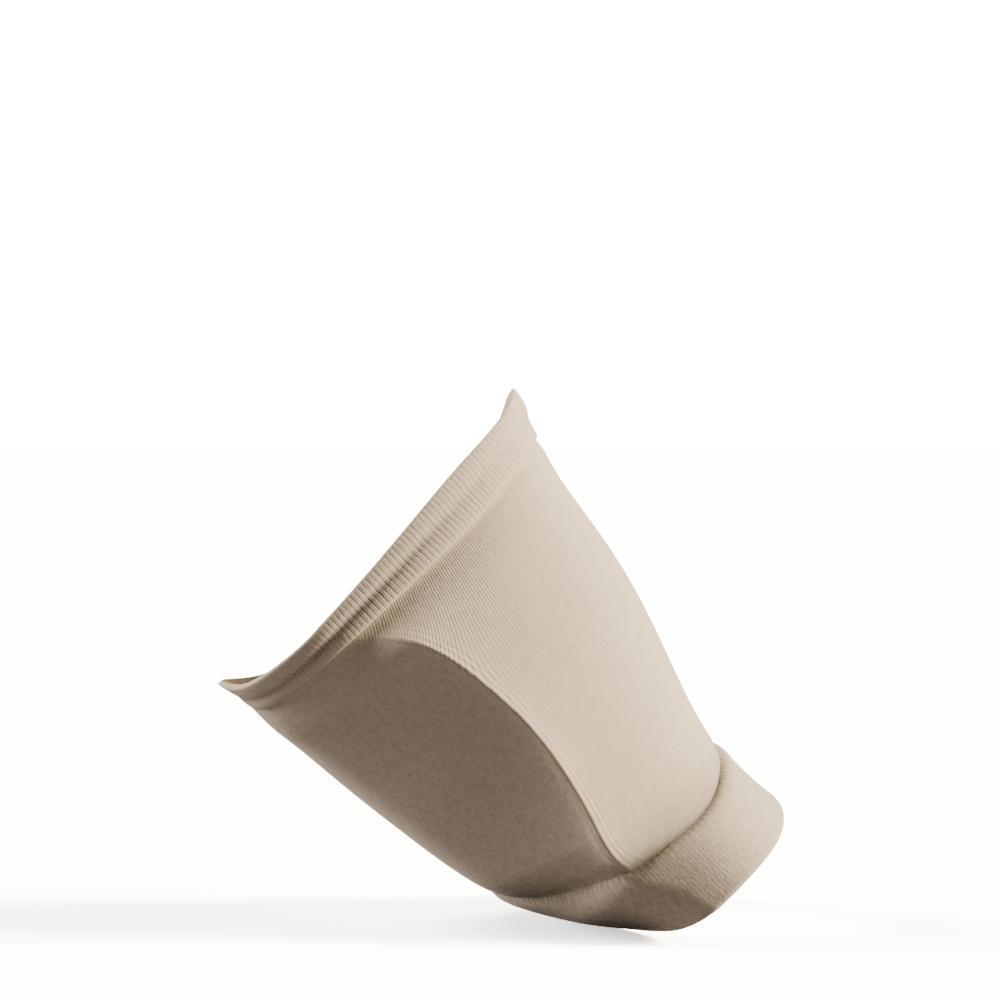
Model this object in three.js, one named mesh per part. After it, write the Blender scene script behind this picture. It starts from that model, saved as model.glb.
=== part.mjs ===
// Arch support sleeve: a knitted tube round the middle of a left foot, with a gel pad under the arch.
// Millimetres. In the finished frame +X points to the toes, +Z up and -Y to the inner side of the foot.
// Every piece is drawn about the sleeve's own axis and the group then tips that axis down to the toes:
// "along" runs down the axis to the toes, "across" to the outer side, and "height" to the top of the foot.
import * as THREE from "three";

// Driving dimensions
const axisDip = 45; // degrees that the axis slopes down to the toes with the heel raised
const wall = 1.2; // thickness of the stretched knit
const gap = 0.3; // clearance between neighbouring pieces
const padGap = 0.5; // clearance between the pad and the knit that it lies against
const cuffRoll = 1.15; // height of the cuff's two rolls over the groove between them
const cuffSink = 0.25; // how far the groove and the ends of the rolls lie below the body's surface
const bandRise = 0.9; // how far the doubled toe band stands proud of the body
const bandWidth = 19;
const bandShoulder = 1.2; // length over which the band rises at its seam and falls at its rim
const padBulge = 1.8; // how far the pad pushes the knit out at its border
const padEdge = 1.6; // thickness of the pad at its border
const padMiddle = 10.5; // thickness of the pad under the middle of the arch

// Steps of the faceted surfaces
const stepsRound = 64;
const cuffSteps = { outside: 12, inside: 3 };
const bodySteps = { outside: 22, inside: 22 };
const bandSteps = { outside: 10, inside: 6 };
const padSteps = { round: 40, outwards: 6 };

// Finishes
const knit = { color: 0xd6c6b3, roughness: 0.9 };
const gel = { color: 0xd9c7a8, roughness: 0.45 };

// Sections square to the axis. top and bottom are heights of the ridge and the sole, crease and side the
// heights of the widest points on the inner and outer side, inner and outer their distances from the axis,
// ridge and keel how far the top and bottom points lie off the axis. above and below are how round the
// inner side is over and under its crease: 2 is an ellipse, less is sharper. floor is how flat the sole is.
const sections = table("along top bottom crease side inner outer ridge keel above below floor", [
  [-56, 51.2, -42.8, -2.0, 2.0, 31.0, 30.5, -1.0, 0.0, 2.0, 2.0, 2.1],
  [-47, 48.9, -40.6, -6.0, 0.0, 31.5, 31.0, -1.5, 1.0, 2.0, 1.9, 2.1],
  [-38, 46.0, -40.6, -9.0, -2.0, 32.0, 31.5, -2.0, 2.0, 1.9, 1.6, 2.1],
  [-32, 44.4, -40.0, -4.0, -3.0, 32.5, 32.0, -2.5, 3.0, 1.75, 1.4, 2.1],
  [-25, 43.2, -39.4, -1.0, -4.0, 33.0, 32.5, -3.0, 4.0, 1.65, 1.3, 2.1],
  [-13, 41.2, -38.4, 0.8, -5.0, 33.5, 34.0, -4.0, 5.5, 1.6, 1.25, 2.1],
  [0, 37.9, -36.8, 1.8, -6.0, 34.5, 36.0, -5.0, 6.0, 1.6, 1.25, 2.2],
  [13, 33.4, -34.8, 0.4, -8.0, 36.5, 38.5, -6.0, 5.5, 1.6, 1.25, 2.2],
  [26, 28.9, -31.0, -3.2, -9.0, 39.0, 41.5, -8.0, 4.0, 1.65, 1.3, 2.3],
  [36, 26.8, -25.4, -6.2, -8.0, 41.5, 43.5, -10.0, 2.0, 1.8, 1.45, 2.4],
  [46, 26.6, -17.6, -4.5, -5.0, 42.5, 44.5, -12.0, 0.0, 1.9, 1.8, 2.5],
  [55, 27.4, -9.4, -0.5, -1.0, 43.0, 44.5, -13.0, -2.0, 2.0, 2.0, 2.5],
  [64, 28.0, -2.0, 4.0, 4.0, 43.0, 44.0, -14.0, -3.0, 2.0, 2.0, 2.5],
]);

// Where the edges of the pieces lie along the axis. turn goes round the tube: 0 is the ridge on top of the
// foot, 1 the crease on the inner side, 2 the sole, 3 the outer side and 4 the ridge again.
const edges = table("turn cuffEdge cuffEnd seam rim", [
  [0.0, -54.5, -45.6, 34.6, 52.6],
  [0.25, -54.0, -44.8, 36.8, 55.1],
  [0.5, -51.6, -42.6, 38.9, 56.5],
  [0.75, -48.9, -40.0, 39.4, 56.7],
  [1.0, -47.1, -39.4, 37.4, 56.6],
  [1.25, -46.7, -39.7, 35.8, 56.0],
  [1.5, -47.2, -40.6, 33.2, 55.0],
  [1.75, -49.9, -42.8, 29.0, 52.0],
  [2.0, -53.8, -46.0, 22.4, 45.5],
  [2.25, -50.0, -42.0, 20.0, 41.5],
  [2.5, -45.8, -37.8, 20.0, 40.0],
  [3.0, -44.2, -36.2, 23.0, 41.5],
  [3.5, -49.0, -40.7, 29.5, 47.5],
]);

// A table's rows as objects, one value for each named column.
function table(names, rows) {
  const columns = names.split(/\s+/);
  return rows.map((row) => Object.fromEntries(row.map((value, i) => [columns[i], value])));
}

// One column of a table at any place between its rows, on a smooth curve through them.
function smooth(rows, by, name, at) {
  const last = rows.length - 1;
  const next = Math.min(Math.max(rows.findIndex((row) => row[by] > at), 1), last);
  const i = at >= rows[last][by] ? last - 1 : next - 1;
  const slope = (k) => {
    const before = rows[Math.max(k - 1, 0)];
    const after = rows[Math.min(k + 1, last)];
    return (after[name] - before[name]) / (after[by] - before[by]);
  };
  const span = rows[i + 1][by] - rows[i][by];
  const t = (at - rows[i][by]) / span;
  const start = rows[i][name] + slope(i) * span * t;
  const end = rows[i + 1][name] - slope(i + 1) * span * (1 - t);
  const ease = t * t * (3 - 2 * t);
  return start + (end - start) * ease;
}

// The edges repeated once before and after the full turn, so that the smooth curves close.
const edgesRound = [-4, 0, 4].flatMap((shift) => edges.map((row) => ({ ...row, turn: row.turn + shift })));

function edgeAt(name, turn) {
  return smooth(edgesRound, "turn", name, turn);
}

// A point of one quarter of a section, from its upright end (on the ridge or the sole) to its side.
function quarter(from, to, lean, roundEnd, roundSide) {
  const upright = Math.cos((lean * Math.PI) / 2);
  const sideways = Math.sin((lean * Math.PI) / 2);
  return {
    across: from.across + (to.across - from.across) * sideways ** (2 / roundEnd),
    height: to.height + (from.height - to.height) * upright ** (2 / roundSide),
  };
}

const ridgeRound = 2.1;
const outerRound = 2.1;

// The smooth surface of the worn knit before the pad lifts it.
function skin(along, turn) {
  const at = (name) => smooth(sections, "along", name, along);
  const ridge = { across: at("ridge"), height: at("top") };
  const sole = { across: at("keel"), height: at("bottom") };
  const inner = { across: -at("inner"), height: at("crease") };
  const outer = { across: at("outer"), height: at("side") };
  const t = ((turn % 4) + 4) % 4;
  let p;
  if (t < 1) p = quarter(ridge, inner, t, ridgeRound, at("above"));
  else if (t < 2) p = quarter(sole, inner, 2 - t, at("floor"), at("below"));
  else if (t < 3) p = quarter(sole, outer, t - 2, at("floor"), outerRound);
  else p = quarter(ridge, outer, 4 - t, ridgeRound, outerRound);
  return new THREE.Vector3(along, p.across, p.height);
}

// The way out of the skin at a point, from its neighbours along and round the tube.
const stepAlong = 1;
const stepTurn = 0.04;
function outward(along, turn) {
  const down = skin(along + stepAlong, turn).sub(skin(along - stepAlong, turn));
  const round = skin(along, turn + stepTurn).sub(skin(along, turn - stepTurn));
  return down.cross(round).negate().normalize();
}

// The pad's place in the body: part goes from the cuff (0) to the toe band (1).
const padCentre = { part: 0.5, turn: 1.43 };
const padReach = { part: 0.47, turn: 0.41 };
const padCorner = 2.8; // 2 is an oval outline, more is squarer

// The knit over the pad: lifted all over its face, falling off at its ends and towards the sole, and
// drawn like a tent from the pad's upper edge, the crease, to the top of the foot.
const bulgeEnds = 0.07; // part of the body's length over which the pad's ends fall away
const bulgeSole = { full: 1.68, none: 1.92 }; // turns between which it falls away to the sole
const tent = { reach: 0.3, top: 0.3 }; // turns over which it comes down above the crease and at the ridge
function bulge(along, turn) {
  const start = edgeAt("cuffEnd", turn);
  const part = (along - start) / (edgeAt("seam", turn) - start);
  const ends = THREE.MathUtils.smoothstep(Math.min(part, 1 - part), 0, bulgeEnds);
  const sole = 1 - THREE.MathUtils.smoothstep(turn, bulgeSole.full, bulgeSole.none);
  const above = Math.exp(-(1 - turn) / tent.reach) * THREE.MathUtils.smoothstep(turn, 0, tent.top);
  return padBulge * ends * sole * (turn < 1 ? above : 1);
}

// A point at some height over the worn surface, bulge included.
function surface(along, turn, lift) {
  const t = ((turn % 4) + 4) % 4;
  return skin(along, t).addScaledVector(outward(along, t), lift + bulge(along, t));
}

// A closed mesh from its points and its faces' corners.
function mesh(name, points, corners, finish) {
  const geometry = new THREE.BufferGeometry();
  geometry.setAttribute("position", new THREE.Float32BufferAttribute(points.flatMap((p) => p.toArray()), 3));
  geometry.setIndex(corners);
  geometry.computeVertexNormals();
  const made = new THREE.Mesh(geometry, new THREE.MeshStandardMaterial({ ...finish, metalness: 0 }));
  made.name = name;
  return made;
}

// A band of wall right round the tube, between two edges. Its profile goes round the wall's thickness as
// points with part (0 at the first edge, 1 at the second) and lift (height over the surface).
function ringPiece(name, firstEdge, lastEdge, profile) {
  const points = [];
  for (const { part, lift } of profile) {
    for (let j = 0; j < stepsRound; j++) {
      const turn = (4 * j) / stepsRound;
      const start = firstEdge(turn);
      points.push(surface(start + (lastEdge(turn) - start) * part, turn, lift));
    }
  }
  const corners = [];
  for (let i = 0; i < profile.length; i++) {
    for (let j = 0; j < stepsRound; j++) {
      const a = i * stepsRound + j;
      const b = i * stepsRound + ((j + 1) % stepsRound);
      const c = ((i + 1) % profile.length) * stepsRound + j;
      const d = ((i + 1) % profile.length) * stepsRound + ((j + 1) % stepsRound);
      corners.push(a, b, c, b, d, c);
    }
  }
  return mesh(name, points, corners, knit);
}

// The profile of a wall: its outer side from the first edge to the last, then its inner side back.
function wallProfile(steps, outerLift) {
  const outer = [];
  for (let i = 0; i <= steps.outside; i++) {
    const part = i / steps.outside;
    outer.push({ part, lift: outerLift(part) });
  }
  const inner = [];
  for (let i = steps.inside; i >= 0; i--) inner.push({ part: i / steps.inside, lift: -wall });
  return [...outer, ...inner];
}

// The rolled cuff: two rolls with a groove between them.
const rolls = 2;
function topCuff() {
  const lift = (part) => cuffRoll * Math.abs(Math.sin(part * rolls * Math.PI)) - cuffSink;
  const first = (turn) => edgeAt("cuffEdge", turn);
  const last = (turn) => edgeAt("cuffEnd", turn);
  return ringPiece("top_cuff", first, last, wallProfile(cuffSteps, lift));
}

// The plain knitted tube between the cuff and the band.
function sleeveBody() {
  const first = (turn) => edgeAt("cuffEnd", turn) + gap;
  const last = (turn) => edgeAt("seam", turn) - gap;
  return ringPiece("sleeve_body", first, last, wallProfile(bodySteps, () => 0));
}

// The doubled toe band, with rounded shoulders at its seam and at its rim.
function toeBand() {
  const lift = (part) => {
    const shoulder = Math.min((Math.min(part, 1 - part) * bandWidth) / bandShoulder, 1);
    return bandRise * Math.sqrt(1 - (1 - shoulder) ** 2);
  };
  const first = (turn) => edgeAt("seam", turn);
  const last = (turn) => edgeAt("rim", turn);
  return ringPiece("toe_band", first, last, wallProfile(bandSteps, lift));
}

// The gel pad: its outer face follows the inside of the knit, its inner face swells into the arch.
const padInwards = new THREE.Vector3(0, 1, 1).normalize(); // from the pad's face into the foot
const padSwell = 1.2; // how fast the pad thins from its middle to its border
function archPad() {
  const spokes = padSteps.round;
  const rings = padSteps.outwards;
  const squared = (value) => Math.sign(value) * Math.abs(value) ** (2 / padCorner);
  const place = (ring, spoke) => {
    const angle = (2 * Math.PI * spoke) / spokes;
    const reach = ring / rings;
    const turn = padCentre.turn + padReach.turn * squared(Math.sin(angle)) * reach;
    const part = padCentre.part + padReach.part * squared(Math.cos(angle)) * reach;
    const start = edgeAt("cuffEnd", turn);
    const along = start + (edgeAt("seam", turn) - start) * part;
    const outerPoint = surface(along, turn, -wall - padGap);
    const thickness = padEdge + (padMiddle - padEdge) * (1 - reach ** 2) ** padSwell;
    return [outerPoint, outerPoint.clone().addScaledVector(padInwards, thickness)];
  };
  const [outerMiddle, innerMiddle] = place(0, 0);
  const points = [outerMiddle, innerMiddle];
  for (let ring = 1; ring <= rings; ring++) {
    for (let spoke = 0; spoke < spokes; spoke++) points.push(...place(ring, spoke));
  }
  const at = (ring, spoke, face) => {
    const before = ring === 0 ? 0 : 1 + (ring - 1) * spokes + (spoke % spokes);
    return 2 * before + face;
  };
  const corners = [];
  for (let spoke = 0; spoke < spokes; spoke++) {
    for (const face of [0, 1]) {
      const [p, q] = face === 0 ? [spoke + 1, spoke] : [spoke, spoke + 1];
      corners.push(at(0, 0, face), at(1, p, face), at(1, q, face));
      for (let ring = 1; ring < rings; ring++) {
        corners.push(at(ring, p, face), at(ring + 1, p, face), at(ring, q, face));
        corners.push(at(ring, q, face), at(ring + 1, p, face), at(ring + 1, q, face));
      }
    }
    corners.push(at(rings, spoke, 0), at(rings, spoke + 1, 0), at(rings, spoke, 1));
    corners.push(at(rings, spoke + 1, 0), at(rings, spoke + 1, 1), at(rings, spoke, 1));
  }
  return mesh("arch_pad", points, corners, gel);
}

const sleeve = new THREE.Group();
sleeve.rotation.y = THREE.MathUtils.degToRad(axisDip);
sleeve.add(topCuff(), sleeveBody(), toeBand(), archPad());

export default sleeve;
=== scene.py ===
import math
import bpy
import numpy as np
from mathutils import Matrix, Vector


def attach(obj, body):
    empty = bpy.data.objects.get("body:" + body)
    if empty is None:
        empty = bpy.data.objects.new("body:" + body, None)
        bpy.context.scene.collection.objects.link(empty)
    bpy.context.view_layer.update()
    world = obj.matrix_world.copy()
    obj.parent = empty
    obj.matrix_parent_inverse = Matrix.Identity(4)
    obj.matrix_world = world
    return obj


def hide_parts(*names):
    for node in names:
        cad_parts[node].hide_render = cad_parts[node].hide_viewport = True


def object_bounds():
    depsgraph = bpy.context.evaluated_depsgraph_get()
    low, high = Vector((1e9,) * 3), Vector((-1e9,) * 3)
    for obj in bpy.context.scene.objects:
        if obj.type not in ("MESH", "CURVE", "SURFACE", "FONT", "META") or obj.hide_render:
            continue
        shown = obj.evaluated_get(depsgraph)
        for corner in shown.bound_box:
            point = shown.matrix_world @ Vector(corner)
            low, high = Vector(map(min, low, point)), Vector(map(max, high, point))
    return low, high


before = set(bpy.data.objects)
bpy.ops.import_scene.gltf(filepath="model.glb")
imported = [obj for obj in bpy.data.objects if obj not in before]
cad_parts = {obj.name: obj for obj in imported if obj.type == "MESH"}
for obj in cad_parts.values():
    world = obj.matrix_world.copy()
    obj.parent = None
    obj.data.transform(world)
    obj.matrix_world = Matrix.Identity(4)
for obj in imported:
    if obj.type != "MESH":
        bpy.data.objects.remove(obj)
cadBox = [list(corner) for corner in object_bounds()]
bpy.ops.object.select_all(action="DESELECT")
mm = 0.001  # the shapes below are worked out in millimetres, Blender is in metres

# the photo's view: level with the sleeve and square to its inner side
view = {
    "lens": 135.0,
    "sensor": 36.0,
    "nearest": 0.01,
    "distance": 0.844,
    "elevation": 1.0,  # degrees
    "aimRight": -0.0047,  # what is in the middle of the picture, from the middle of the sleeve
    "aimUp": 0.049,
}


def addCamera():
    tilt = math.radians(view["elevation"])
    up = Vector((0, math.sin(tilt), math.cos(tilt)))
    ahead = Vector((0, math.cos(tilt), -math.sin(tilt)))
    data = bpy.data.cameras.new("camera")
    data.lens = view["lens"]
    data.sensor_width = view["sensor"]
    data.clip_start = view["nearest"]
    camera = bpy.data.objects.new("camera", data)
    bpy.context.scene.collection.objects.link(camera)
    camera.location = Vector((view["aimRight"], 0, 0)) + up * view["aimUp"] - ahead * view["distance"]
    camera.rotation_euler = ahead.to_track_quat("-Z", "Y").to_euler()
    bpy.context.scene.camera = camera


addCamera()
print("camera placed")

# turns round the tube, from the ridge at 0: the crease is on the inner side
crease, underside, outerSide, oneLap = 1, 2, 3, 4

# The worn form, close to the solids'. Sections stand square to the sleeve's axis: along points to the toe
# end, across to the outer side, height to the top.
worn = {
    "axisDip": 45.0,  # degrees that the toe end points down
    "wall": 1.2,
    "sections": {
        "along":  [-56, -47, -38, -32, -25, -13, 0, 13, 26, 36, 40, 46, 55, 64],
        # heights of the ridge and the underside, then of the crease and the outer side
        "top":    [51.2, 48.9, 46, 44.4, 43.2, 41.2, 37.9, 33.4, 28.9, 26.8, 26.5, 26.6, 27.4, 28],
        "bottom": [-43.2, -41.3, -41.3, -40.7, -40.1, -39.1, -37.5,
                   -35.5, -31.6, -25.8, -22.8, -17.8, -9.4, -2],
        "crease": [-20, -15.5, -10, -4.6, -0.8, 1.5, 2.1, 0.4, -3, -5.2, -4.4, 0.5, 3, 5.5],
        "side":   [2, 0, -2, -3, -4, -5, -6, -8, -9, -8, -7.2, -5, -1, 4],
        # how far out the inner and outer sides stand, and where the ridge and the underside lie across
        "inner":  [31, 31.5, 32, 32.5, 33, 33.6, 34.2, 34.9, 36, 38.2, 39.2, 40.6, 42, 42.5],
        "outer":  [30.5, 31, 31.5, 32, 32.5, 34, 36, 38.5, 41.5, 43.5, 44, 44.5, 44.5, 44],
        "ridge":  [-1, -1.5, -2, -2.5, -3, -4, -5, -6, -8, -10, -10.8, -12, -13, -14],
        "keel":   [0, 1, 2, 3, 4, 5.5, 6, 5.5, 4, 2, 1.2, 0, -2, -3],
        # how full the section is above and below the crease, and at the underside: 2 is an ellipse
        "above":  [2, 1.9, 1.74, 1.64, 1.6, 1.54, 1.46, 1.46, 1.65, 1.95, 2.5, 2.7, 2.5, 2.3],
        "below":  [2, 1.85, 1.5, 1.38, 1.3, 1.25, 1.23, 1.18, 1.15, 1.3, 1.7, 2, 2.1, 2.1],
        "floor":  [2.1, 2.1, 2.1, 2.1, 2.1, 2.1, 2.2, 2.2, 2.3, 2.4, 2.45, 2.5, 2.5, 2.5],
    },
    "ridgeRound": 2.1,
    "outerRound": 2.1,
    "edges": {  # where the pieces begin and end along the sleeve, by turn
        "turn":     [0, 0.25, 0.5, 0.75, 1, 1.25, 1.5, 1.75, 2, 2.25, 2.5, 3, 3.5],
        "cuffEdge": [-53.8, -51.2, -50, -48.1, -46.7, -46.9, -48.2, -50.8, -53.8, -50, -45.8, -43.8, -47.8],
        "cuffEnd":  [-42, -40.7, -38.9, -38.8, -39.3, -39.7, -40.6, -42.8, -46, -42, -37.8, -36.2, -40.2],
        "seam":     [34.8, 37.4, 39.6, 40, 37.9, 35.8, 33.2, 29, 22.4, 20, 20, 23, 29.5],
        "rim":      [52.6, 55.1, 56.5, 56.7, 56.6, 56, 55, 52, 45.5, 41.5, 40, 41.5, 47.5],
    },
    "bulge": 1.8,  # how far the gel pad pushes the knit out
    "bulgeEnds": 0.13,  # it rises over this part of the way from the cuff and the band
    "bulgeUnder": (1.68, 1.92),  # it ends over these turns
    "bulgeAbove": 0.3,  # and fades above the crease
    "ridgeFlat": 0.3,  # nothing is pushed out at the ridge, where the sides are merged
}
sections = {name: np.array(column, float) for name, column in worn["sections"].items()}
edges = {name: np.tile(np.array(column, float), 3) for name, column in worn["edges"].items()}
# three laps, so that the curves close
edges["turn"] += np.repeat((-oneLap, 0, oneLap), len(worn["edges"]["turn"]))


# a cubic spline through the points of a column
def smooth(rows, by, name, at):
    x, y = rows[by], rows[name]
    step = np.diff(x)
    slope = np.diff(y) / step
    system, change = np.eye(len(x)), np.zeros(len(x))
    for i in range(1, len(x) - 1):
        system[i, i - 1:i + 2] = step[i - 1], 2 * (step[i - 1] + step[i]), step[i]
        change[i] = 6 * (slope[i] - slope[i - 1])
    bend = np.linalg.solve(system, change)
    i = np.clip(np.searchsorted(x, at, side="right") - 1, 0, len(x) - 2)
    before = (x[i + 1] - at) / step[i]
    after = 1 - before
    curve = (before ** 3 - before) * bend[i] + (after ** 3 - after) * bend[i + 1]
    return before * y[i] + after * y[i + 1] + curve * step[i] ** 2 / 6


def edgeAt(name, turn):
    return smooth(edges, "turn", name, turn)


# part of the way along the sleeve from one edge to another
def between(first, second, turn, part):
    start = edgeAt(first, turn)
    return start + (edgeAt(second, turn) - start) * part


def ease(value, low, high):
    t = np.clip((value - low) / (high - low), 0, 1)
    return t * t * (3 - 2 * t)


def plateau(value, rise, fall):
    return ease(value, *rise) * (1 - ease(value, *fall))


def hump(value, middle, width):
    return np.exp(-((value - middle) / width) ** 2)


def skin(along, turn):
    def at(name):
        return smooth(sections, "along", name, along)

    t = np.mod(turn, oneLap)
    upper = (t < crease) | (t >= outerSide)
    inner = t < underside
    lean = np.where(upper, np.minimum(t, oneLap - t), np.abs(underside - t)) * math.pi / 2
    upright = np.clip(np.cos(lean), 0, 1)
    sideways = np.clip(np.sin(lean), 0, 1)
    endAcross = np.where(upper, at("ridge"), at("keel"))
    endHeight = np.where(upper, at("top"), at("bottom"))
    sideAcross = np.where(inner, -at("inner"), at("outer"))
    sideHeight = np.where(inner, at("crease"), at("side"))
    roundEnd = np.where(upper, worn["ridgeRound"], at("floor"))
    roundSide = np.where(inner, np.where(upper, at("above"), at("below")), worn["outerRound"])
    across = endAcross + (sideAcross - endAcross) * sideways ** (2 / roundEnd)
    height = sideHeight + (endHeight - sideHeight) * upright ** (2 / roundSide)
    return np.stack([along + 0 * across, across, height], -1)


# square to the skin, from small steps along it and round it
def outward(along, turn, step=1.0, stepRound=0.04):
    down = skin(along + step, turn) - skin(along - step, turn)
    around = skin(along, turn + stepRound) - skin(along, turn - stepRound)
    way = -np.cross(down, around)
    return way / np.linalg.norm(way, axis=-1, keepdims=True)


def awayFromRidge(turn):
    return ease(turn, 0, worn["ridgeFlat"])


def bulge(along, turn):
    t = np.mod(turn, oneLap)
    start = edgeAt("cuffEnd", t)
    part = (along - start) / (edgeAt("seam", t) - start)
    ends = ease(np.minimum(part, 1 - part), 0, worn["bulgeEnds"])
    under = 1 - ease(t, *worn["bulgeUnder"])
    above = np.exp(-(crease - np.minimum(t, crease)) / worn["bulgeAbove"]) * awayFromRidge(t)
    return worn["bulge"] * ends * under * np.where(t < crease, above, 1)


def surface(along, turn, lift):
    return skin(along, turn) + outward(along, turn) * (lift + bulge(along, turn))[..., None]


def inFrame(points):
    dip = math.radians(worn["axisDip"])
    x = points[..., 0] * math.cos(dip) + points[..., 2] * math.sin(dip)
    z = points[..., 2] * math.cos(dip) - points[..., 0] * math.sin(dip)
    return np.stack([x, points[..., 1], z], -1) * mm


def runAlong(points):
    return np.concatenate([[0], np.cumsum(np.linalg.norm(np.diff(points, axis=0), axis=1))])


lapTurns = np.linspace(0, oneLap, 4001)


# how far round the tube each turn is, as a share of the girth, along a line round the tube
def lapAt(along):
    line = skin(along + 0 * lapTurns, lapTurns)
    length = runAlong(line)
    angles = np.unwrap(np.arctan2(-line[:, 1], line[:, 2]))
    return {"girth": length[-1], "shares": length / length[-1], "angles": angles}


middleLap = lapAt(0)
print("worn form ready, girth", round(float(middleLap["girth"]), 1), "mm")


def shareOf(lap, turn):
    return np.interp(turn, lapTurns, lap["shares"])


def turnOf(lap, share):
    return np.interp(share, lap["shares"], lapTurns)


# the share of a lap where it is met by the straight line down the tube through this place
def shareByAngle(lap, along, turn):
    place = skin(along, turn)
    angle = np.arctan2(-place[:, 1], place[:, 2])
    expected = np.interp(turn, lapTurns, lap["angles"])
    angle = angle + math.tau * np.rint((expected - angle) / math.tau)
    return np.interp(angle, lap["angles"], lap["shares"])


# the turns where lines that run straight down the tube meet a lap
def turnByAngle(lap, angle):
    first = lap["angles"][0]
    return np.interp(first + np.mod(angle - first, math.tau), lap["angles"], lapTurns)


# a knit's shares run from 0 on its first column to 1 on its last, which lies on the first
def closeShares(share, column, lastColumn):
    return np.where(column == 0, 0.0, np.where(column == lastColumn, 1.0, share))


# A flat sheet is laid out as a grid with its knit on a UV map, then wrapped round the form: columns go
# round, rows go along. Its side seam is merged, and so is the seam of a profile that closes.
def wrap(name, columns, rows, placeAt, mergeGap=0.002 * mm):
    bpy.ops.mesh.primitive_grid_add(x_subdivisions=columns, y_subdivisions=rows, size=1, calc_uvs=True)
    piece = bpy.context.object
    piece.name = piece.data.name = name
    mesh = piece.data
    flat = np.zeros(len(mesh.vertices) * 3)
    mesh.vertices.foreach_get("co", flat)
    flat = flat.reshape(-1, 3)
    column = np.rint((flat[:, 0] + 0.5) * columns).astype(int)
    row = np.rint((flat[:, 1] + 0.5) * rows).astype(int)
    points, knit, masks = placeAt(column, row)
    mesh.vertices.foreach_set("co", inFrame(points).ravel())
    corner = np.zeros(len(mesh.loops), int)
    mesh.loops.foreach_get("vertex_index", corner)
    mesh.uv_layers[0].name = "knit"
    mesh.uv_layers[0].data.foreach_set("uv", np.stack(knit, -1)[corner].ravel())
    for maskName, values in masks.items():
        mask = mesh.attributes.new(maskName, "FLOAT", "POINT")
        mask.data.foreach_set("value", values.astype(np.float32))
    mesh.update()
    bpy.ops.object.mode_set(mode="EDIT")
    bpy.ops.mesh.select_all(action="SELECT")
    bpy.ops.mesh.remove_doubles(threshold=mergeGap)
    bpy.ops.mesh.normals_make_consistent(inside=False)
    bpy.ops.object.mode_set(mode="OBJECT")
    bpy.ops.object.shade_smooth()
    piece.select_set(False)
    return piece


def thicken(piece, thickness):
    bpy.context.view_layer.objects.active = piece
    solid = piece.modifiers.new("wall", "SOLIDIFY")
    solid.thickness = thickness * mm
    solid.offset = -1  # inwards
    bpy.ops.object.modifier_apply(modifier=solid.name)


# even steps round the closed profile of a rolled or doubled edge: its outside, then the inside of the wall
def profileOf(edge, lifts):
    outside = np.stack([np.linspace(0, 1, len(lifts)) * edge["width"], lifts], -1)
    inside = [(edge["width"] - edge["inset"], -worn["wall"]), (edge["inset"], -worn["wall"])]
    loop = np.concatenate([outside, inside, outside[:1]])
    length = runAlong(loop)
    even = np.linspace(0, length[-1], edge["rows"] + 1)
    return np.interp(even, length, loop[:, 0]), np.interp(even, length, loop[:, 1])


# lengths in mm, places round the tube in turns
body = {
    "columns": 400,
    "rows": 120,
    "creaseColumns": 3.0,  # how much closer the columns stand at the crease
    "creaseReach": 0.025,  # in shares of the girth
    "wales": 316,
    "waleLap": -16.0,  # where the wales are counted out, along the sleeve
    "courses": 0.62,  # from one course of stitches to the next
    "lean": 0.045,  # wales start steeper under the cuff, in shares of the girth
    "leanReach": 20.0,
    "alignReach": 6.0,  # near the fold the wales run along it
    "alignFrom": (-34, -14),
    "fold": 3.5,  # how proud the fold over the pad's upper edge stands
    "foldAbove": 0.22,
    "foldBelow": 0.13,
    "foldFromCuff": (2, 12),
    "foldToSeam": (0, 4),
    "ripple": 0.07,  # fine ridges pressed into the knit along the fold
    "ripplePitch": 0.8,
    "rippleAt": (-0.2, 1.3),
    "underCuff": 0.7,  # how far the tube runs on under the cuff and the band
    "underBand": 0.8,
    "tuck": 0.55,  # how far the tube is drawn in at the cuff and the band
    "tuckReach": 1.8,
    "noTuck": 0.3,  # none at the cuff's underside
    "padTurns": ((1.0, 1.05), (1.75, 1.95)),  # the knit over the pad is felted
    "padFromCuff": (1, 7),
    # how deep the wales show, and with them the painted shade in their gaps
    "ribbing": {"plain": 0.07, "nearCuff": 0.75, "atFold": 0.55, "lessOnPad": 0.8},
    "ribbedSides": [((0.1, 0.75), (1.9, 2.2)), ((2.2, 2.6), (3.2, 3.8))],
    "ribbedNearCuff": (6, 22),  # in full this far from the cuff, then fading
    "ribbedFold": (0.06, 1.03),
    "ribbedFoldFromCuff": (4, 12),
    "ribbedFoldToSeam": (4, 50),
    # how far from the seam the painted shade of its valley reaches
    "seamShade": 2.8,
}


# where each column stands, in shares of the girth, with one of them right on the crease
def columnShares(creaseShare):
    grid = np.linspace(0, 1, len(lapTurns))
    weight = 1 + body["creaseColumns"] * hump(grid, creaseShare, body["creaseReach"])
    reach = np.concatenate([[0], np.cumsum((weight[1:] + weight[:-1]) / 2)])
    reach /= reach[-1]
    creaseAt = np.interp(creaseShare, grid, reach)
    creaseColumn = round(creaseAt * body["columns"])
    spots = np.linspace(0, 1, body["columns"] + 1)
    shift = creaseColumn / body["columns"] - creaseAt
    shares = np.interp(spots - shift * np.sin(math.pi * spots) ** 2, reach, grid)
    shares[creaseColumn] = creaseShare
    return shares, creaseColumn


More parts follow.
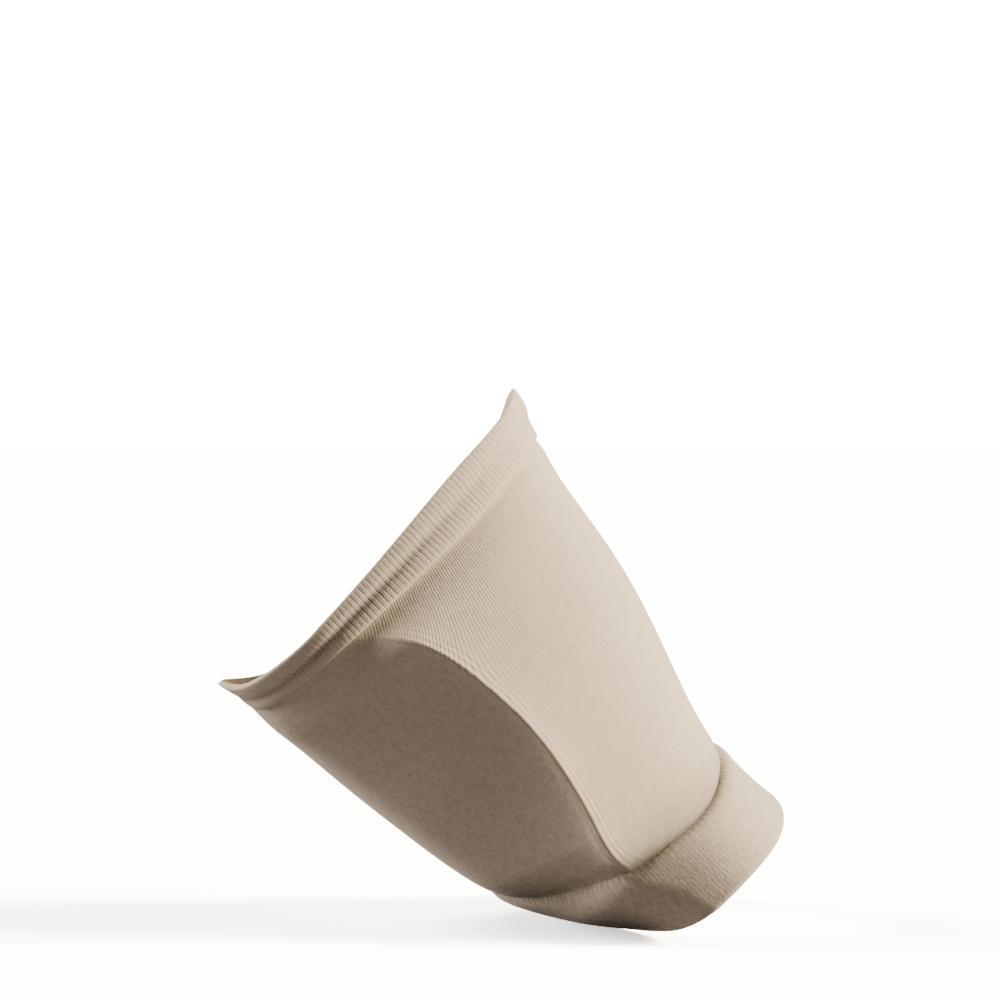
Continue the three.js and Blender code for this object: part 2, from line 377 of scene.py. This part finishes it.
# the fold with its ripples, and the tucks at the cuff and the band
def bodyLift(turn, belowCrease, fromCuff, toSeam):
    above = np.exp(-(crease - turn) / body["foldAbove"])
    below = np.exp(-(turn - crease) / body["foldBelow"])
    window = ease(fromCuff, *body["foldFromCuff"]) * ease(toSeam, *body["foldToSeam"])
    fold = np.where(turn < crease, above, below) * awayFromRidge(turn) * (turn < underside) * window
    ripple = np.cos(math.tau * belowCrease / body["ripplePitch"])
    ripple = ripple * hump(belowCrease, *body["rippleAt"]) * window
    tucks = sum(hump(np.maximum(reach, 0), 0, body["tuckReach"]) for reach in (fromCuff, toSeam))
    tucks = tucks * (1 - hump(turn, underside, body["noTuck"]) * (fromCuff < toSeam))
    return body["fold"] * fold + body["ripple"] * ripple - body["tuck"] * tucks


# wales run straight down the tube, and beside the fold along it
def waleShares(waleLap, along, turn, belowCrease, creaseShare):
    strayed = shareByAngle(waleLap, along, np.full_like(turn, crease)) - creaseShare
    aligned = np.exp(-np.abs(belowCrease) / body["alignReach"]) * ease(along, *body["alignFrom"])
    return shareByAngle(waleLap, along, turn) - strayed * aligned


def bodyMasks(turn, fromCuff, toSeam):
    ribbed = body["ribbing"]
    full, fading = body["ribbedNearCuff"]
    foldReach, foldEnd = body["ribbedFold"]
    onPad = plateau(turn, *body["padTurns"]) * ease(fromCuff, *body["padFromCuff"])
    onSides = sum(plateau(turn, *side) for side in body["ribbedSides"])
    nearCuff = hump(np.maximum(fromCuff - full, 0), 0, fading)
    atFold = np.exp(-np.abs(crease - turn) / foldReach) * (turn < foldEnd)
    atFold = atFold * ease(fromCuff, *body["ribbedFoldFromCuff"]) * ease(toSeam, *body["ribbedFoldToSeam"])
    depth = ribbed["plain"] + ribbed["nearCuff"] * nearCuff * onSides + ribbed["atFold"] * atFold
    depth = np.clip(depth, 0, 1) * (1 - ribbed["lessOnPad"] * onPad)
    # valley is painted shade in the hollow at the seam with the band
    return {"ribbing": depth, "felt": onPad, "valley": hump(toSeam, 0, body["seamShade"])}


def makeBody():
    creaseShare = shareOf(middleLap, crease)
    shares, creaseColumn = columnShares(creaseShare)
    waleLap = lapAt(body["waleLap"])

    def placeAt(column, row):
        turn = turnOf(middleLap, shares[column])
        turn[column == creaseColumn] = crease
        start = edgeAt("cuffEnd", turn) - body["underCuff"]
        end = edgeAt("seam", turn) + body["underBand"]
        along = start + (end - start) * (row / body["rows"])
        fromCuff = along - start - body["underCuff"]
        toSeam = end - along - body["underBand"]
        belowCrease = (shareOf(middleLap, turn) - creaseShare) * middleLap["girth"]
        points = surface(along, turn, bodyLift(turn, belowCrease, fromCuff, toSeam))
        share = waleShares(waleLap, along, turn, belowCrease, creaseShare)
        share = closeShares(share, column, body["columns"])
        steeper = body["lean"] * np.exp(-fromCuff / body["leanReach"]) * np.sin(math.tau * share)
        knit = ((share + steeper) * body["wales"], along / body["courses"])
        return points, knit, bodyMasks(turn, fromCuff, toSeam)

    piece = wrap("sleeve_knit", body["columns"], body["rows"], placeAt)
    thicken(piece, worn["wall"])
    return piece


sleeveKnit = makeBody()
print("sleeve wrapped,", len(sleeveKnit.data.polygons), "faces")

cuff = {
    "ribs": 200,
    "ribSteps": [0.0, 0.1, 0.24, 0.4, 0.6, 0.76, 0.9],  # closer together in the valley between two ribs
    "ribDepth": 0.075,
    "unevenRibs": (0.5, 1.1),
    "seed": 5,
    "valleySharp": 8,
    "valleyShade": 0.6,
    "rows": 44,
    "width": 9.0,
    "inset": 0.4,
    "profile": {
        "across": [0, 0.02, 0.06, 0.12, 0.2, 0.3, 0.4, 0.5, 0.6, 0.72, 0.84, 0.92, 0.965, 1],
        "lift":   [0.5, 0.75, 0.92, 1, 1.04, 0.98, 0.74, 0.52, 0.58, 0.74, 0.8, 0.7, 0.45, -0.1],
    },
    "profileSteps": 60,
    "outside": (-0.5, 0.2),  # the profile's outside begins at this lift
    "groove": (0.49, 0.1),  # where it runs between the rolls, in shares of the width
    "grooveAway": 0.09,  # nearer to the sleeve over the ridge and under the arch
    "awayAtRidge": 0.15,
    "awayUnder": (0.9, 1.4),
    "grooveOverArch": 0.7,  # deeper there
    "overArch": (1.1, 0.45),
    "flatUnder": 0.75,  # the rolls are flatter at the underside
    "underReach": 0.3,
    "flatRidge": 0.8,  # and the second one at the top
    "ridgeReach": 0.35,
    "secondRoll": (0.4, 0.6),
    "dipFrom": (0.2, 0.9),  # the groove is shaded from here round to dipTo, and more over the arch
    "dipArch": (1.15, 0.3),
    "dipTo": (2.8, 3.8),
}


def makeCuff():
    ribSteps = np.array(cuff["ribSteps"])
    perRib = len(ribSteps)
    corners = {name: np.array(column, float) for name, column in cuff["profile"].items()}
    lifts = smooth(corners, "across", "lift", np.linspace(0, 1, cuff["profileSteps"]))
    acrossSteps, liftSteps = profileOf(cuff, lifts)
    parts = acrossSteps / cuff["width"]
    outside = ease(liftSteps, *cuff["outside"])
    laps = [lapAt(between("cuffEdge", "cuffEnd", lapTurns, part)) for part in parts]
    strength = np.random.default_rng(cuff["seed"]).uniform(*cuff["unevenRibs"], cuff["ribs"])

    def placeAt(column, row):
        part = parts[row]
        phase = ribSteps[column % perRib]
        rib = column // perRib + phase
        angle = np.interp(rib / cuff["ribs"], laps[0]["shares"], laps[0]["angles"])
        turn = np.zeros_like(angle)
        for step, lap in enumerate(laps):
            turn[row == step] = turnByAngle(lap, angle[row == step])
        fromRidge = np.minimum(turn, oneLap - turn)
        atUnderside = hump(turn, underside, cuff["underReach"])
        away = hump(fromRidge, 0, cuff["awayAtRidge"]) + ease(fromRidge, *cuff["awayUnder"])
        away = cuff["grooveAway"] * away * np.sin(math.pi * part)
        along = between("cuffEdge", "cuffEnd", turn, part + away)
        groove = hump(part, *cuff["groove"]) * outside[row]
        valley = np.abs(np.cos(math.pi * phase)) ** cuff["valleySharp"] * outside[row]
        valley = valley * strength[np.rint(rib).astype(int) % cuff["ribs"]]
        lift = liftSteps[row] - cuff["grooveOverArch"] * groove * hump(turn, *cuff["overArch"])
        atRidge = ease(part, *cuff["secondRoll"]) * hump(fromRidge, 0, cuff["ridgeReach"])
        flat = 1 - np.maximum(cuff["flatUnder"] * atUnderside, cuff["flatRidge"] * atRidge)
        lift = np.where(lift > 0, lift * flat, lift)
        points = surface(along, turn, lift - cuff["ribDepth"] * valley)
        dip = ease(turn, *cuff["dipFrom"]) + hump(turn, *cuff["dipArch"])
        dip = groove * dip * (1 - ease(turn, *cuff["dipTo"]))
        # valley is painted shade between the ribs, darker in the groove, and dip is painted shade in the
        # groove
        masks = {"valley": valley * (cuff["valleyShade"] + groove), "dip": dip}
        return points, (rib, acrossSteps[row]), masks

    return wrap("cuff_knit", cuff["ribs"] * perRib, cuff["rows"], placeAt)


cuffKnit = makeCuff()
print("cuff wrapped,", len(cuffKnit.data.polygons), "faces")

band = {
    "columns": 480,
    "rows": 72,
    "wales": 270,
    "waleLap": 8,  # where the wales are counted out, from the seam
    "courses": 0.7,
    "width": 19.0,
    "inset": 0.3,
    "profile": {
        "across": [0, 0.02, 0.06, 0.1, 0.16, 0.5, 0.88, 0.94, 0.975, 0.99, 1],
        "lift":   [-0.8, -0.3, 0.35, 0.68, 0.85, 0.85, 0.85, 0.95, 0.8, 0.4, -0.3],
    },
    "profileSteps": 80,
    # along this sewn line the band gets painted shade of the seam's valley, with the stitches' thread over
    # it
    "stitches": (0.4, 2.0),  # the sewn line beside the seam: its middle and its reach
    "ribbing": {"plain": 0.1, "inner": 0.25, "innerReach": 0.6},
}


def makeBand():
    profile, ribbed = band["profile"], band["ribbing"]
    lifts = np.interp(np.linspace(0, 1, band["profileSteps"]), profile["across"], profile["lift"])
    acrossSteps, liftSteps = profileOf(band, lifts)
    bandLap = lapAt(edgeAt("seam", lapTurns) + band["waleLap"])

    def placeAt(column, row):
        turn = turnOf(bandLap, column / band["columns"])
        turn[column == band["columns"]] = 0
        along = between("seam", "rim", turn, acrossSteps[row] / band["width"])
        points = surface(along, turn, liftSteps[row])
        share = closeShares(shareByAngle(bandLap, along, turn), column, band["columns"])
        knit = (share * band["wales"], along / band["courses"])
        depth = ribbed["plain"] + ribbed["inner"] * hump(turn, crease, ribbed["innerReach"])
        sewn = hump(acrossSteps[row], *band["stitches"])
        return points, knit, {"ribbing": depth, "felt": np.ones_like(turn), "stitch": sewn}

    return wrap("band_knit", band["columns"], band["rows"], placeAt)


bandKnit = makeBand()
print("toe band wrapped,", len(bandKnit.data.polygons), "faces")

pad = {
    "spokes": 96,
    "rings": 24,
    "centre": (0.5, 1.43),  # part of the way from cuff to band, and turn
    "reach": (0.47, 0.41),
    "corner": 2.8,  # 2 is round, more is squarer
    "gap": 0.5,
    "edge": 1.6,  # how thick it is at its edge and in its middle
    "middle": 10.5,
    "swell": 1.2,
    "inwards": (0, 1, 1),  # the way in from the knit, in which its thickness is laid
}


def makePad():
    rings = pad["rings"]
    inwards = np.array(pad["inwards"]) / np.linalg.norm(pad["inwards"])

    def squared(wave):
        return np.sign(wave) * np.abs(wave) ** (2 / pad["corner"])

    def placeAt(column, row):
        angle = math.tau * column / pad["spokes"]
        reach = np.minimum(row, 2 * rings + 1 - row) / rings
        part = pad["centre"][0] + pad["reach"][0] * squared(np.cos(angle)) * reach
        turn = pad["centre"][1] + pad["reach"][1] * squared(np.sin(angle)) * reach
        points = surface(between("cuffEnd", "seam", turn, part), turn, -worn["wall"] - pad["gap"])
        thickness = pad["edge"] + (pad["middle"] - pad["edge"]) * (1 - reach ** 2) ** pad["swell"]
        points = points + inwards * np.where(row > rings, thickness, 0)[:, None]
        return points, (angle / math.tau, reach), {}

    piece = wrap("gel_pad", pad["spokes"], 2 * rings + 1, placeAt)
    bpy.context.view_layer.objects.active = piece
    rounder = piece.modifiers.new("rounder", "SUBSURF")
    rounder.levels = rounder.render_levels = 1
    bpy.ops.object.modifier_apply(modifier=rounder.name)
    return piece


gelPad = makePad()
print("gel pad filled,", len(gelPad.data.polygons), "faces")


# small helpers for node trees: each puts nodes in, and most give back an output
def put(tree, kind, **settings):
    node = tree.nodes.new(kind)
    for name, value in settings.items():
        setattr(node, name, value)
    return node


def feed(tree, value, socket):
    if isinstance(value, bpy.types.NodeSocket):
        tree.links.new(value, socket)
    else:
        socket.default_value = value


def calc(tree, operation, a, b=0.0, c=0.0):
    node = put(tree, "ShaderNodeMath", operation=operation)
    for value, socket in zip((a, b, c), node.inputs):
        feed(tree, value, socket)
    return node.outputs[0]


# a * b + c
def scaled(tree, a, b, c):
    return calc(tree, "MULTIPLY_ADD", a, b, c)


def grain(tree, vector, scale, detail, roughness=0.5):
    node = put(tree, "ShaderNodeTexNoise")
    feed(tree, vector, node.inputs["Vector"])
    for name, value in (("Scale", scale), ("Detail", detail), ("Roughness", roughness)):
        node.inputs[name].default_value = value
    return calc(tree, "SUBTRACT", node.outputs["Fac"], 0.5)


def stretched(tree, vector, scale):
    node = put(tree, "ShaderNodeMapping")
    feed(tree, vector, node.inputs["Vector"])
    node.inputs["Scale"].default_value = scale
    return node.outputs["Vector"]


def blend(tree, factor, first, second):
    mix = put(tree, "ShaderNodeMix", data_type="RGBA", clamp_factor=True)
    feed(tree, factor, mix.inputs["Factor"])
    mix.inputs[6].default_value = (*first, 1)  # the two colours, A and B
    mix.inputs[7].default_value = (*second, 1)
    return mix.outputs[2]


def emboss(tree, height, depth):
    bump = put(tree, "ShaderNodeBump")
    bump.inputs["Distance"].default_value = depth * mm
    feed(tree, height, bump.inputs["Height"])
    feed(tree, bump.outputs["Normal"], tree.nodes["Principled BSDF"].inputs["Normal"])


def newMaterial(name):
    material = bpy.data.materials.new(name)
    material.use_nodes = True
    return material, material.node_tree


def maskOf(tree, name):
    return put(tree, "ShaderNodeAttribute", attribute_name=name).outputs["Fac"]


def placeIn(tree):
    return put(tree, "ShaderNodeTexCoord").outputs["Object"]


def knitIn(tree):
    return put(tree, "ShaderNodeUVMap", uv_map="knit").outputs["UV"]


# scales of noise on the knit go by its wales and courses, those on the place by metres
yarn = {
    "crown": 2.2,  # how flat a wale is along its middle
    "legs": -0.45,  # the slope of a stitch's two legs
    "stitch": 0.14,
    "unevenStretch": (1.0, 0.12, 1.0),
    "unevenScale": 0.9,
    "uneven": 0.9,
    "fuzzScale": 1400.0,
    "fuzzRoughness": 0.6,
    "fuzz": 1.8,
    "streakStretch": (0.8, 0.28, 1.0),
    "streaks": 0.7,
    "blotchScale": 520.0,
    "blotches": 1.2,
    "gapShadeSharp": 3.0,
    "feltHeight": (0.9, 0.35),  # how much more the loose fibres show on felted knit, and how much on plain
    "feltShade": (0.7, 0.3),
}


# one knit for all three pieces of cloth: wales with their stitches, and the fuzz of the covered yarn
def knitGroup():
    group = bpy.data.node_groups.new("knit stitches", "ShaderNodeTree")
    for name, kind in (("Knit", "Vector"), ("Place", "Vector"), ("Ribbing", "Float"), ("Felt", "Float")):
        group.interface.new_socket(name, in_out="INPUT", socket_type="NodeSocket" + kind)
    for name in ("Height", "Shade"):
        group.interface.new_socket(name, in_out="OUTPUT", socket_type="NodeSocketFloat")
    given, result = put(group, "NodeGroupInput").outputs, put(group, "NodeGroupOutput").inputs
    split = put(group, "ShaderNodeSeparateXYZ")
    feed(group, given["Knit"], split.inputs[0])
    side = calc(group, "ABSOLUTE", calc(group, "SUBTRACT", calc(group, "FRACT", split.outputs["X"]), 0.5))
    side = calc(group, "MULTIPLY", side, 2.0)  # 0 down the middle of a wale, 1 in the gap
    ridge = calc(group, "SUBTRACT", 1.0, calc(group, "POWER", side, yarn["crown"]))
    leg = scaled(group, side, yarn["legs"], split.outputs["Y"])  # the legs of each stitch make a V
    stitch = calc(group, "SINE", calc(group, "MULTIPLY", leg, math.tau))
    stitch = scaled(group, stitch, yarn["stitch"], 1 - yarn["stitch"])
    uneven = grain(group, stretched(group, given["Knit"], yarn["unevenStretch"]), yarn["unevenScale"], 1.0)
    wale = calc(group, "MULTIPLY", ridge, stitch)
    wale = calc(group, "MULTIPLY", wale, scaled(group, uneven, yarn["uneven"], 1.0))
    fuzz = grain(group, given["Place"], yarn["fuzzScale"], 3.0, yarn["fuzzRoughness"])
    streaks = grain(group, stretched(group, given["Knit"], yarn["streakStretch"]), 1.0, 2.0)
    loose = scaled(group, fuzz, yarn["fuzz"], calc(group, "MULTIPLY", streaks, yarn["streaks"]))
    waleHeight = calc(group, "MULTIPLY", wale, given["Ribbing"])
    looseHeight = scaled(group, given["Felt"], *yarn["feltHeight"])
    feed(group, scaled(group, loose, looseHeight, waleHeight), result["Height"])
    # painted shade in the gaps between the wales, as strong as the wales show; the fuzz, streaks and
    # blotches are random tone
    gap = calc(group, "MULTIPLY", calc(group, "POWER", side, yarn["gapShadeSharp"]), given["Ribbing"])
    shade = scaled(group, loose, scaled(group, given["Felt"], *yarn["feltShade"]), gap)
    blotches = grain(group, given["Place"], yarn["blotchScale"], 2.0)
    feed(group, scaled(group, blotches, yarn["blotches"], shade), result["Shade"])
    return group


stitches = knitGroup()

# shade is how much darker the shaded places are and how dark the rest is, depth is the bump's in mm
cloth = {
    "colour": (0.68, 0.52, 0.345),
    # the darker colour that shade mixes in: painted shade in gaps, rib valleys, groove and seam valley, and
    # random mottling
    "paintedShadeAndMottle": (0.235, 0.195, 0.16),
    "roughness": 0.92,
    "sheen": 0.12,
    "sheenRoughness": 0.45,
    "sheenTint": (1, 0.93, 0.84),
    "specular": 0.2,
    # the sleeve's seam, the cuff's rib valleys and groove and the band's stitches set painted shade: in the
    # valley at the seam, between the ribs, in the groove and along the band's sewn line, whose thread wave
    # is the stitches' pattern
    "sleeve": {"shade": (0.35, 0.05), "depth": 0.09, "seam": 1.2},
    "cuff": {"shade": (0.35, 0.03), "depth": 0.07, "ribValleyShade": 0.24, "groove": 0.26,
             "ribbing": 0.3, "felt": 0.3, "finer": (2, 1.6, 1)},
    "band": {"shade": (0.4, 0.1), "depth": 0.055, "stitches": 0.75, "thread": -0.35, "threadHeight": 0.3},
}


def dressInCloth(tree, shade, height, depth):
    shader = tree.nodes["Principled BSDF"]
    feed(tree, blend(tree, shade, cloth["colour"], cloth["paintedShadeAndMottle"]), shader.inputs["Base Color"])
    emboss(tree, height, depth)
    shader.inputs["Roughness"].default_value = cloth["roughness"]
    shader.inputs["Sheen Weight"].default_value = cloth["sheen"]
    shader.inputs["Sheen Roughness"].default_value = cloth["sheenRoughness"]
    shader.inputs["Sheen Tint"].default_value = (*cloth["sheenTint"], 1)
    shader.inputs["Specular IOR Level"].default_value = cloth["specular"]


def stitchesIn(tree, ribbing, felt, finer=(1, 1, 1)):
    node = put(tree, "ShaderNodeGroup", node_tree=stitches)
    feed(tree, stretched(tree, knitIn(tree), finer), node.inputs["Knit"])
    feed(tree, placeIn(tree), node.inputs["Place"])
    feed(tree, ribbing, node.inputs["Ribbing"])
    feed(tree, felt, node.inputs["Felt"])
    return node.outputs["Height"], node.outputs["Shade"]


def sleeveMaterial():
    material, tree = newMaterial("plain_knit")
    look = cloth["sleeve"]
    height, shade = stitchesIn(tree, maskOf(tree, "ribbing"), maskOf(tree, "felt"))
    # painted shade in the valley at the seam
    shade = scaled(tree, maskOf(tree, "valley"), look["seam"], shade)
    dressInCloth(tree, scaled(tree, shade, *look["shade"]), height, look["depth"])
    return material


def cuffMaterial():
    material, tree = newMaterial("ribbed_knit")
    look = cloth["cuff"]
    height, shade = stitchesIn(tree, look["ribbing"], look["felt"], look["finer"])
    shade = scaled(tree, shade, *look["shade"])
    # painted shade between the ribs and in the groove between the rolls
    shade = scaled(tree, maskOf(tree, "valley"), look["ribValleyShade"], shade)
    shade = scaled(tree, maskOf(tree, "dip"), look["groove"], shade)
    dressInCloth(tree, shade, height, look["depth"])
    return material


def bandMaterial():
    material, tree = newMaterial("band_knit")
    look = cloth["band"]
    height, shade = stitchesIn(tree, maskOf(tree, "ribbing"), maskOf(tree, "felt"))
    split = put(tree, "ShaderNodeSeparateXYZ")
    feed(tree, knitIn(tree), split.inputs[0])
    wave = calc(tree, "SINE", calc(tree, "MULTIPLY", split.outputs["X"], math.pi))  # a stitch over two wales
    thread = calc(tree, "MULTIPLY", maskOf(tree, "stitch"), wave)
    height = scaled(tree, thread, look["threadHeight"], height)
    # painted shade of the seam's valley along the sewn line; the thread wave is the stitches' own pattern
    shade = scaled(tree, maskOf(tree, "stitch"), look["stitches"], shade)
    shade = scaled(tree, thread, look["thread"], shade)
    dressInCloth(tree, scaled(tree, shade, *look["shade"]), height, look["depth"])
    return material


gel = {
    "colour": (0.62, 0.5, 0.36),
    "veins": (0.5, 0.38, 0.26),
    "cloudScale": 130.0,
    "clouds": (1.2, 0.4),
    "cloudDepth": 0.15,  # mm
    "roughness": 0.38,
    "dustScale": 900.0,
    "dust": 0.2,
    "scatter": 0.35,
    "scatterColour": (1.0, 0.7, 0.45),
    "scatterReach": 0.003,
}


def gelMaterial():
    material, tree = newMaterial("gel")
    shader = tree.nodes["Principled BSDF"]
    place = placeIn(tree)
    cloudy = grain(tree, place, gel["cloudScale"], 3.0)
    colour = blend(tree, scaled(tree, cloudy, *gel["clouds"]), gel["colour"], gel["veins"])
    feed(tree, colour, shader.inputs["Base Color"])
    dust = grain(tree, place, gel["dustScale"], 2.0)
    feed(tree, scaled(tree, dust, gel["dust"], gel["roughness"]), shader.inputs["Roughness"])
    emboss(tree, cloudy, gel["cloudDepth"])
    shader.inputs["Subsurface Weight"].default_value = gel["scatter"]
    shader.inputs["Subsurface Radius"].default_value = gel["scatterColour"]
    shader.inputs["Subsurface Scale"].default_value = gel["scatterReach"]
    return material


def dress(piece, material):
    piece.data.materials.clear()
    piece.data.materials.append(material)


dress(sleeveKnit, sleeveMaterial())
dress(cuffKnit, cuffMaterial())
dress(bandKnit, bandMaterial())
dress(gelPad, gelMaterial())
print("materials made")

# pale floor under a soft sun over the toe end, with a broad one low behind the cuff and a weak one above it
studio = {
    "floorGap": 0.0004,
    "floorSize": 60.0,
    "bounce": (0.14, 0.144, 0.166),  # the floor's grey for the light that it throws back up
    "shine": (5.4, 5.4, 5.4),  # and for the camera, where it is nearly white
    "glow": 0.9,
    "white": 18.0,
    "dim": 0.055,
    "dimColour": (0.9, 0.95, 1.1),
    "suns": {
        "key": {"way": (0.88, -0.1, 0.47), "angle": 24.0, "strength": 11.5, "colour": (1, 0.965, 0.86)},
        "low": {"way": (-0.82, 0.5, -0.02), "angle": 44.0, "strength": 9.5, "colour": (0.98, 0.98, 1)},
        "high": {"way": (-0.7, 0.07, 0.71), "angle": 16.0, "strength": 3.2, "colour": (1, 0.97, 0.9)},
    },
}


def addSun(name, settings):
    data = bpy.data.lights.new(name, "SUN")
    data.energy = settings["strength"]
    data.angle = math.radians(settings["angle"])
    data.color = settings["colour"]
    sun = bpy.data.objects.new(name, data)
    bpy.context.scene.collection.objects.link(sun)
    sun.rotation_euler = Vector(settings["way"]).to_track_quat("Z", "Y").to_euler()


def addFloor():
    bpy.ops.mesh.primitive_grid_add(x_subdivisions=1, y_subdivisions=1, size=studio["floorSize"])
    floor = bpy.context.object
    floor.name = "floor"
    floor.data.transform(Matrix.Translation((0, 0, cadBox[0][2] - studio["floorGap"])))
    material, tree = newMaterial("floor")
    shader = tree.nodes["Principled BSDF"]
    seen = put(tree, "ShaderNodeLightPath").outputs["Is Camera Ray"]
    feed(tree, blend(tree, seen, studio["bounce"], studio["shine"]), shader.inputs["Base Color"])
    shader.inputs["Roughness"].default_value = 1.0
    shader.inputs["Specular IOR Level"].default_value = 0.0
    shader.inputs["Emission Color"].default_value = (1, 1, 1, 1)
    feed(tree, calc(tree, "MULTIPLY", seen, studio["glow"]), shader.inputs["Emission Strength"])
    floor.data.materials.append(material)
    floor.select_set(False)


def addWorld():
    world = bpy.data.worlds.new("studio")
    bpy.context.scene.world = world
    world.use_nodes = True
    tree = world.node_tree
    background = tree.nodes["Background"]
    seen = put(tree, "ShaderNodeLightPath").outputs["Is Camera Ray"]
    feed(tree, blend(tree, seen, studio["dimColour"], (1, 1, 1)), background.inputs["Color"])
    feed(tree, scaled(tree, seen, studio["white"], studio["dim"]), background.inputs["Strength"])


for sunName, sunSettings in studio["suns"].items():
    addSun(sunName, sunSettings)
addFloor()
addWorld()
print("studio lit")

for piece, node, slot in ((sleeveKnit, "sleeve_body", "plain_knit"), (cuffKnit, "top_cuff", "ribbed_knit"),
                          (bandKnit, "toe_band", "band_knit"), (gelPad, "arch_pad", "gel")):
    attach(piece, "root")
    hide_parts(node)
